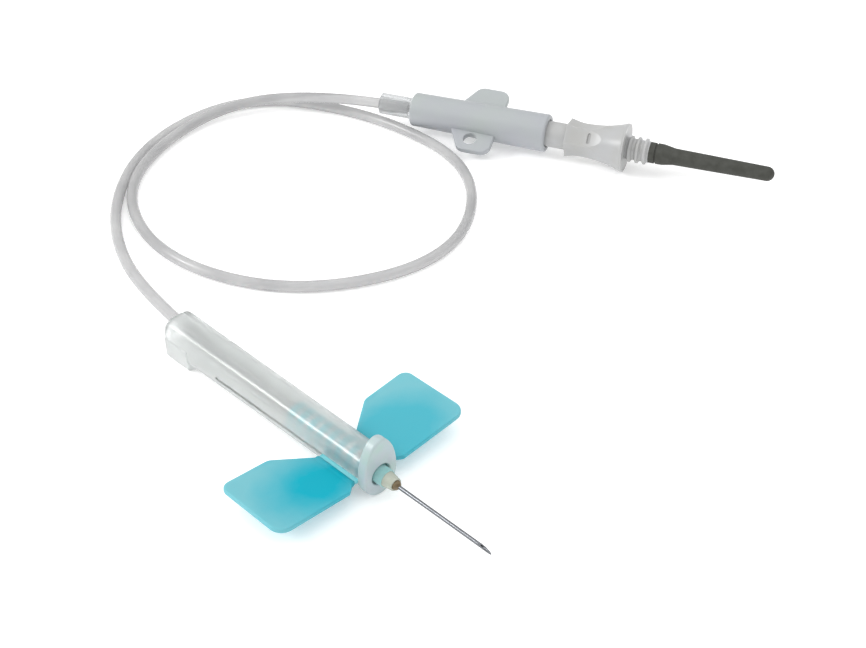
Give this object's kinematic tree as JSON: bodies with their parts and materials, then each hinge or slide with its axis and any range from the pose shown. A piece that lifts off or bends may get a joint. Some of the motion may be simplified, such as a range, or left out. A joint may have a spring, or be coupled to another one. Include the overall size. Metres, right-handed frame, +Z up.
{
  "type": "winged safety needle set",
  "caption": "Blood collection set: winged steel needle in a sliding shield, a looped clear tube, and an eared connector with a threaded adapter and rubber covered rear needle.",
  "frame": {"origin": "under the middle of the needle, hub and shield, on the surface that they lie on", "axes": "+X along the needle towards its tip, +Z up away from the surface, +Y to the left of the needle"},
  "size_m": [0.1306, 0.1295, 0.0106],
  "materials": {
    "needle_steel": "polished",
    "adhesive": "glossy",
    "hub_plastic": "satin",
    "wing_vinyl": "soft satin",
    "shield_plastic": "translucent satin",
    "collar_plastic": "translucent satin",
    "tube_vinyl": "clear gloss",
    "socket_clear": "clear gloss",
    "connector_white": "satin",
    "adapter_white": "satin",
    "sleeve_rubber": "matte"
  },
  "bodies": {
    "hub_and_tube": {"needle": "needle_steel", "needle_bead": "adhesive", "needle_hub": "hub_plastic", "wing_sleeve": "wing_vinyl", "tubing": "tube_vinyl", "tube_socket": "socket_clear", "eared_connector": "connector_white", "threaded_adapter": "adapter_white", "rear_needle": "needle_steel", "rubber_sleeve": "sleeve_rubber"},
    "shield": {"safety_shield": "shield_plastic", "shield_collar": "collar_plastic"},
    "left_wing": {"left_wing": "wing_vinyl"},
    "right_wing": {"right_wing": "wing_vinyl"}
  },
  "joints": [
    {"name": "shield_slide", "type": "slide", "parent": "hub_and_tube", "child": "shield", "axis": [1, 0, 0], "range_m": [0, 0.0255]},
    {"name": "left_wing_fold", "type": "hinge", "parent": "hub_and_tube", "child": "left_wing", "pos_m": [0.00728, 0.0041, 0.0031], "axis": [1, 0, 0], "range_deg": [0, 80], "stiffness_Nm_per_rad": 0.0005},
    {"name": "right_wing_fold", "type": "hinge", "parent": "hub_and_tube", "child": "right_wing", "pos_m": [0.00728, -0.0041, 0.0031], "axis": [-1, 0, 0], "range_deg": [0, 80], "stiffness_Nm_per_rad": 0.0005}
  ]
}
